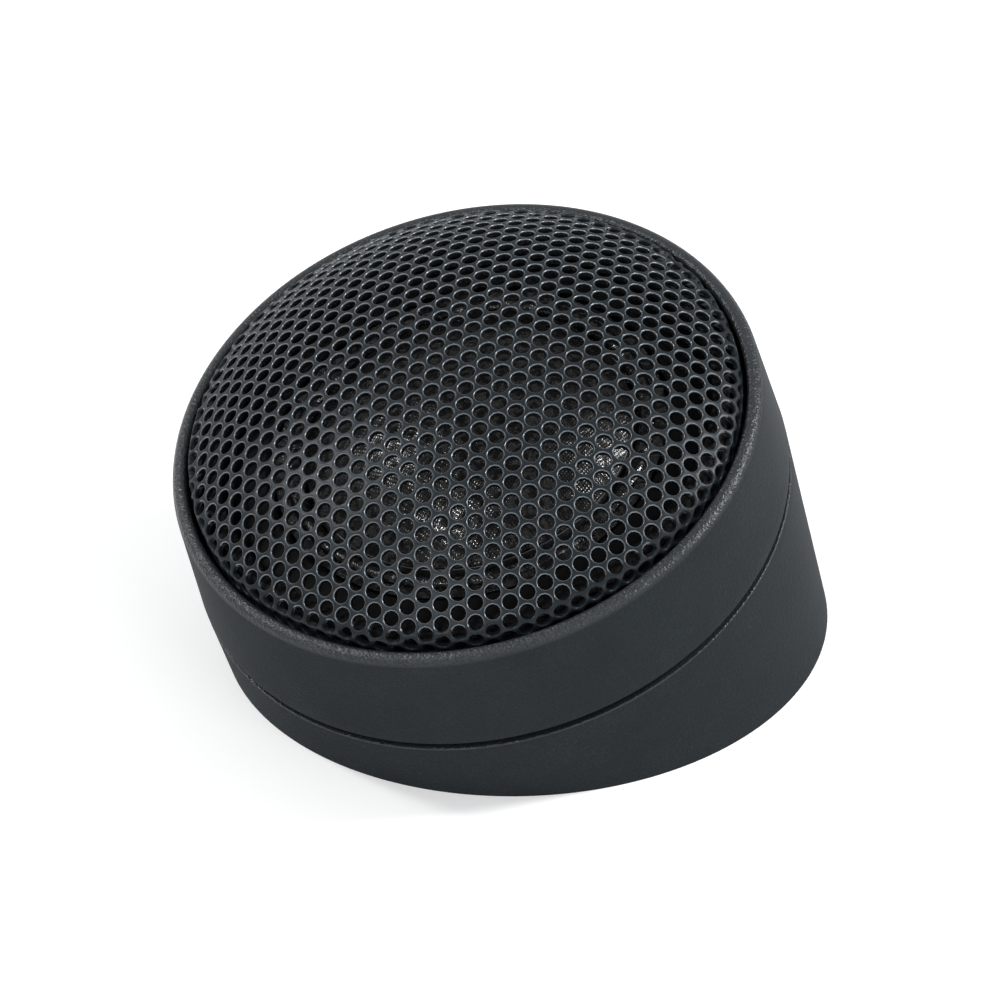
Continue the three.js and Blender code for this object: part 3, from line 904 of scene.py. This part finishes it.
def silk_surround():
    """A half-round roll between the dome and the flat flange that is glued to the spacer."""
    outline = arc(ROLL_MIDDLE, ROLL_BASE, ROLL_RADIUS - GAP, 180, 0, 10)
    outline += [(YOKE_OUTER, ROLL_BASE), (YOKE_OUTER, ROLL_BASE + GAP)]
    outline += arc(ROLL_MIDDLE, ROLL_BASE, ROLL_RADIUS, 26, 180, 12)
    return turned("silk_surround", outline, SILK, MEDIUM)


def lead_slots(inner, outer, bottom, top):
    """Cutters for the two slots through which the lead wires leave the coil."""
    width = 1.6
    middle = (inner + outer) / 2
    return [prism(rectangle(outer - inner, width, side * middle), bottom, top) for side in (-1, 1)]


def driver_faceplate():
    """A flange with a raised inner edge, and a collar round the yoke."""
    corners = [(FACEPLATE_INNER + 0.1, 1.0), (COLLAR_OUTER, 1.0), (COLLAR_OUTER, FACEPLATE_BOTTOM),
               (FACEPLATE_OUTER, FACEPLATE_BOTTOM), (FACEPLATE_OUTER, FACEPLATE_RIM), (19.0, FACEPLATE_RIM),
               (FACEPLATE_INNER + 0.3, FACEPLATE_TOP), (FACEPLATE_INNER, FACEPLATE_TOP - 0.3),
               (FACEPLATE_INNER, FACEPLATE_RIM), (FACEPLATE_INNER + 0.1, FACEPLATE_RIM)]
    plate = turned("driver_faceplate", rounded(corners, 0.12, 2), DRIVER)
    holes = [rod(PILOT_RADIUS, FACEPLATE_BOTTOM - PAST, PILOT_TOP, on_circle(SCREW_CIRCLE, angle))
             for angle in SCREW_ANGLES]
    holes += lead_slots(FACEPLATE_INNER - PAST, COLLAR_OUTER + 0.1, 0, ROLL_BASE - GAP)
    return combine(plate, holes, "DIFFERENCE")


def faceplate_gasket():
    """The foam ring between the shelf and the faceplate, with a hole for each screw."""
    outline = ring_outline(17.0, FACEPLATE_OUTER, SHELF_TOP + GAP, FACEPLATE_BOTTOM - GAP)
    ring = turned("foam_gasket", outline, FOAM)
    holes = [rod(SCREW_HOLE, SHELF_TOP - PAST, FACEPLATE_BOTTOM + PAST, on_circle(SCREW_CIRCLE, angle))
             for angle in SCREW_ANGLES]
    return combine(ring, holes, "DIFFERENCE")


def pan_head_screw(name, where, under, shank, head, head_height, tip):
    """A screw that points up, with threads, a domed head and a cross recess under it."""
    outline = [(0, under - head_height)]
    for step in range(7):
        angle = math.radians(90 * step / 6)
        outline.append((head - 0.6 * (1 - math.sin(angle)), under - head_height * math.cos(angle)))
    height = under
    root = shank * THREAD_ROOT
    while height + THREAD_PITCH < tip - shank:
        outline += [(root, height + 0.08), (shank, height + THREAD_PITCH / 2)]
        height += THREAD_PITCH
    outline += [(root, tip - shank), (0, tip)]
    screw = turned(name, outline, ZINC, SMALL, where)
    reach = head * 1.1
    recess = [prism(rectangle(*size, *where), under - head_height - 0.1, under - head_height * 0.45)
              for size in ((reach, CROSS_WIDTH), (CROSS_WIDTH, reach))]
    return combine(screw, recess, "DIFFERENCE")


def yoke_cup():
    """The steel cup of the magnet system, with a blind hole for the board's screw."""
    corners = [(0, YOKE_BOTTOM), (YOKE_OUTER, YOKE_BOTTOM), (YOKE_OUTER, YOKE_TOP), (YOKE_INNER, YOKE_TOP),
               (YOKE_INNER, YOKE_FLOOR), (0, YOKE_FLOOR)]
    cup = turned("steel_yoke_cup", rounded(corners, 0.3), STEEL)
    hole = rod(BOARD_HOLE, YOKE_BOTTOM - PAST, YOKE_BOTTOM + BOARD_HOLE_DEPTH, (0, BOARD_Y))
    return combine(cup, [hole], "DIFFERENCE")


def disc(name, radius, bottom, top, material, edge):
    """A round plate with rounded edges."""
    return turned(name, rounded([(0, bottom), (radius, bottom), (radius, top), (0, top)], edge), material)


def magnet():
    """The plated magnet disc on the floor of the cup."""
    return disc("plated_magnet", 11.2, YOKE_FLOOR + GAP, POLE_BOTTOM - GAP, NICKEL, 0.25)


def pole_plate():
    """The steel disc on the magnet."""
    return disc("steel_pole_plate", 12.2, POLE_BOTTOM, YOKE_TOP, STEEL, 0.15)


def damping_felt():
    """The felt disc under the dome."""
    bottom = YOKE_TOP + GAP
    return disc("felt_disc", 9.0, bottom, bottom + 1.2, FELT, 0.3)


def grille_cushion():
    """The foam ring between the faceplate's rim and the grille."""
    return turned("foam_cushion", ring_outline(19.2, 20.4, FACEPLATE_RIM + GAP, 9.7, 0.25), FOAM)


def coil_former():
    """The thin foil tube that carries the coil."""
    return turned("foil_former", ring_outline(12.5, 12.7, 2.2, 7.6, 0.04), FOIL)


def surround_frame():
    """The spacer ring between the yoke and the surround's flange, slotted for the leads."""
    bottom = YOKE_TOP + GAP
    top = ROLL_BASE - GAP
    ring = turned("surround_spacer", ring_outline(14.2, YOKE_OUTER, bottom, top), DRIVER)
    slots = lead_slots(YOKE_INNER - PAST, YOKE_OUTER + PAST, bottom - PAST, top - 2 * GAP)
    return combine(ring, slots, "DIFFERENCE")


def voice_coil():
    """Two layers of copper turns: a ring with a ripple for each turn."""
    inner = 12.85
    outer = 13.2
    bottom = 2.7
    top = 4.8
    turns = 14
    outline = [(inner, bottom)]
    for step in range(turns):
        height = bottom + (top - bottom) * (step + 0.5) / turns
        size = (top - bottom) / turns / 2
        outline += arc(outer - size, height, size, -80, 80, 4)
    outline.append((inner, top))
    return turned("copper_voice_coil", outline, COPPER)


def terminal_board():
    """The laminate board under the yoke that carries the solder tags."""
    outline = rectangle(17, 7, 0, BOARD_Y)
    board = prism(outline, BOARD_BOTTOM, BOARD_TOP, "phenolic_board", PHENOLIC, edge=0.12)
    hole = rod(BOARD_HOLE, BOARD_BOTTOM - PAST, BOARD_TOP + PAST, (0, BOARD_Y))
    return combine(board, [hole], "DIFFERENCE")


def terminal_tag(name, side):
    """A stamped solder tag that stands down from the board, with an eye for the wire."""
    half = 1.4
    length = 4.4
    thick = 0.6
    taper = 1.0
    outline = [(-half, 0), (-half, taper - length), (-half / 2, -length), (half / 2, -length),
               (half, taper - length), (half, 0)]
    top = Matrix.Translation((side * TAG_X, BOARD_Y, BOARD_BOTTOM - GAP))
    stand = HEAD @ top @ Matrix.Rotation(math.pi / 2, 4, "X")
    tag = prism(outline, -thick / 2, thick / 2, name, BRASS, stand, edge=0.08)
    return combine(tag, [rod(0.6, -PAST, PAST, (0, half - length), stand)], "DIFFERENCE")


def lead_wire(name, side):
    """A braided lead, from beside the coil down the outside of the yoke to its tag."""
    beside = 13.25
    outside = 15.95
    points = [(side * beside, 0, 5.8), (side * (outside - 0.6), 0, 5.7), (side * outside, 0, 5.0),
              (side * outside, 0, 0), (side * outside, 0, -4.4), (side * (outside - 2), 1, -7.4),
              (side * (TAG_X + 3), SOLDER_Y, -9.3), (side * TAG_X, SOLDER_Y, -9.6)]
    return wire(name, points, WIRE_RADIUS, BRAID, strands=3)


def filter_capacitor():
    """A can in a shrunk sleeve, with a rolled bead near one end and a rim at each."""
    radius = CAPACITOR_RADIUS
    half = CAPACITOR_HALF
    bead = 1.3
    bend = 0.35
    sunk = half - 0.15
    outline = [(0, -sunk), (radius - 0.9, -sunk), (radius - 2 * bend, -half)]
    outline += arc(radius - bend, -half + bend, bend, -90, 0, 4)
    outline += arc(radius + 0.15, half - bead, 0.4, 250, 110, 6)
    outline += arc(radius - bend, half - bend, bend, 0, 90, 4)
    outline += [(radius - 2 * bend, half), (radius - 0.9, sunk), (0, sunk)]
    middle = Matrix.Translation((0, CAPACITOR_Y, CAPACITOR_HEIGHT))
    place = HEAD @ middle @ Matrix.Rotation(math.pi / 2, 4, "Y")
    return turned("sleeved_capacitor", outline, SLEEVE, MEDIUM, place=place)


def capacitor_leg(name, side):
    """A tinned leg, from an end of the capacitor round to its solder tag."""
    start = CAPACITOR_HALF + GAP
    y = CAPACITOR_Y
    height = CAPACITOR_HEIGHT
    joint = height - 1.2
    points = [(side * start, y, height), (side * (start + 1.6), y - 0.4, height),
              (side * (start + 1.9), y - 3, height - 0.6), (side * (TAG_X + 0.9), SOLDER_Y + 1.3, joint),
              (side * TAG_X, SOLDER_Y + 0.1, joint)]
    return wire(name, points, WIRE_RADIUS, TIN)


def finish_piece(piece, body, material_slot, *nodes):
    """Fixes a piece to its body and lets it stand in for its CAD nodes."""
    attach(piece, body)
    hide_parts(*nodes)


finish_piece(wedge_shell(), "base", "pod_plastic", "wedge_base")
finish_piece(cable_grommet(), "base", "rubber", "cable_grommet")
finish_piece(housing_shell(), "housing", "pod_plastic", "housing_ring")
finish_piece(grille(), "housing", "grille_paint", "grille")
finish_piece(grille_cushion(), "housing", "foam", "grille_cushion")
finish_piece(driver_faceplate(), "housing", "driver_plastic", "faceplate")
finish_piece(faceplate_gasket(), "housing", "foam", "faceplate_gasket")
for number, angle in enumerate(SCREW_ANGLES, 1):
    screw = pan_head_screw(f"pan_head_screw_{number}", on_circle(SCREW_CIRCLE, angle), SHELF_BOTTOM - GAP,
                           shank=0.8, head=1.5, head_height=1.2, tip=6.4)
    finish_piece(screw, "housing", "screw_steel", f"faceplate_screw_{number}")
finish_piece(yoke_cup(), "housing", "plated_steel", "yoke_cup")
finish_piece(magnet(), "housing", "magnet_plating", "magnet")
finish_piece(pole_plate(), "housing", "plated_steel", "pole_plate")
finish_piece(damping_felt(), "housing", "felt", "damping_felt")
finish_piece(surround_frame(), "housing", "driver_plastic", "surround_frame")
finish_piece(silk_surround(), "housing", "dome_silk", "surround")
finish_piece(silk_dome(), "diaphragm", "dome_silk", "dome_diaphragm")
finish_piece(coil_former(), "diaphragm", "former_aluminium", "coil_former")
finish_piece(voice_coil(), "diaphragm", "coil_wire", "voice_coil")
finish_piece(terminal_board(), "housing", "board", "terminal_board")
board_screw = pan_head_screw("board_screw", (0, BOARD_Y), BOARD_BOTTOM - GAP,
                             shank=1.0, head=1.8, head_height=1.0, tip=-4.1)
finish_piece(board_screw, "housing", "screw_steel", "terminal_board_screw")
for side, sign in ((1, "positive"), (-1, "negative")):
    finish_piece(terminal_tag(f"solder_tag_{sign}", side), "housing", "tag_brass", f"terminal_tag_{sign}")
    finish_piece(lead_wire(f"tinsel_lead_{sign}", side), "housing", "lead_braid", f"lead_wire_{sign}")
finish_piece(filter_capacitor(), "housing", "capacitor_sleeve", "filter_capacitor")
for side, end in ((1, "positive"), (-1, "input")):
    finish_piece(capacitor_leg(f"tinned_leg_{end}", side), "housing", "leg_tin", f"capacitor_leg_{end}")


# Stage


def softbox(name, azimuth, elevation, size, radiance):
    """A rectangular light that faces the pod, placed by its angle round from +X and its elevation."""
    data = bpy.data.lights.new(name, "AREA")
    data.shape = "RECTANGLE"
    data.size, data.size_y = size
    data.energy = radiance * math.pi * size[0] * size[1]
    lamp = bpy.data.objects.new(name, data)
    flat = LIGHT_DISTANCE * math.cos(math.radians(elevation))
    position = Vector((*on_circle(flat, azimuth), LIGHT_DISTANCE * math.sin(math.radians(elevation))))
    lamp.location = position
    lamp.rotation_mode = "QUATERNION"
    lamp.rotation_quaternion = (LIGHT_TARGET - position).to_track_quat("-Z", "Y")
    bpy.context.scene.collection.objects.link(lamp)


def stage():
    """A white floor, a pale surround and soft lights."""
    bm = bmesh.new()
    bmesh.ops.create_grid(bm, x_segments=8, y_segments=8, size=FLOOR_HALF)
    bmesh.ops.translate(bm, vec=(0, 0, FLOOR_LEVEL), verts=bm.verts)
    mesh = bpy.data.meshes.new("floor")
    bm.to_mesh(mesh)
    bm.free()
    mesh.materials.append(floor_material())
    floor = bpy.data.objects.new("floor", mesh)
    bpy.context.scene.collection.objects.link(floor)
    world = bpy.data.worlds.new("studio")
    world.use_nodes = True
    background = world.node_tree.nodes["Background"]
    background.inputs["Color"].default_value = (0.97, 0.985, 1, 1)
    background.inputs["Strength"].default_value = 0.5
    bpy.context.scene.world = world
    bpy.context.scene.view_settings.view_transform = "Standard"
    softbox("left_softbox", 172, 14, (0.40, 0.10), 0.5)
    softbox("front_left_softbox", -152, 45, (0.045, 0.10), 46)
    softbox("right_softbox", 40, 46, (0.075, 0.15), 42)
    softbox("side_softbox", -20, 24, (0.22, 0.12), 4)
    softbox("front_softbox", -90, 45, (0.045, 0.045), 50)


def camera():
    """A long lens that looks at AIM."""
    data = bpy.data.cameras.new("camera")
    data.lens = FOCAL
    data.sensor_width = SENSOR
    data.clip_start = 0.01
    cam = bpy.data.objects.new("camera", data)
    back = Vector((math.sin(AZIMUTH) * math.cos(ELEVATION), -math.cos(AZIMUTH) * math.cos(ELEVATION),
                   math.sin(ELEVATION)))
    right = Vector((math.cos(AZIMUTH), math.sin(AZIMUTH), 0))
    facing = Matrix((right, back.cross(right), back)).transposed().to_4x4()
    cam.matrix_world = Matrix.Translation(AIM + back * DISTANCE) @ facing @ Matrix.Rotation(ROLL, 4, "Z")
    bpy.context.scene.collection.objects.link(cam)
    bpy.context.scene.camera = cam


stage()
camera()
